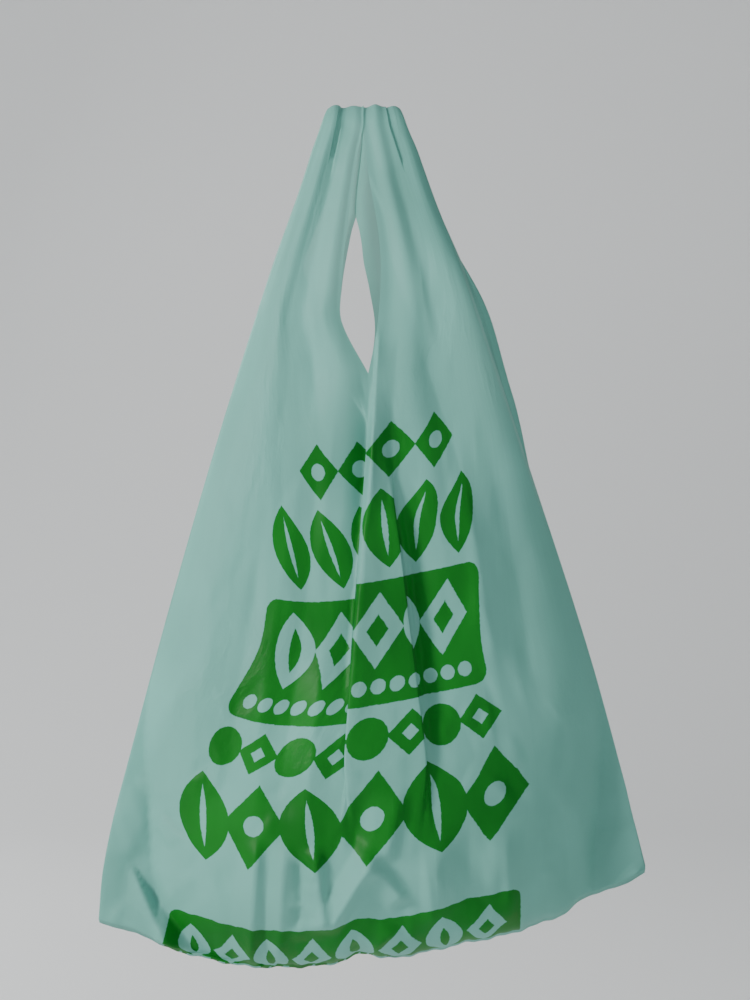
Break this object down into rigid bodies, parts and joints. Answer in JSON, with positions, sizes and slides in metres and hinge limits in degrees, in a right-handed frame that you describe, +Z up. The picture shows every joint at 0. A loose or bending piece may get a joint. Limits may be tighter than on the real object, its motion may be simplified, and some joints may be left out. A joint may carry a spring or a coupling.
{
  "type": "plastic carrier bag",
  "caption": "Vest-style plastic carrier bag hanging loaded by its loop handles, with side gussets, a foot seal, flat ears and a soft box pleat down the front.",
  "frame": {"origin": "the bearing line of the handles on the hook they hang over, midway across the gather: the lowest line of film under the top fold", "axes": "+Z up along the hanging height, +X to the bag's right seen from the front, across the panels and along the hook, +Y from the front panel to the back one"},
  "size_m": [0.2988, 0.1096, 0.4737],
  "materials": {
    "green_film": "thin milky blue-green compostable film with a soft sheen, fine creases and dark green printed fields"
  },
  "bodies": {
    "root": {"carrier_bag": "green_film"}
  },
  "joints": []
}
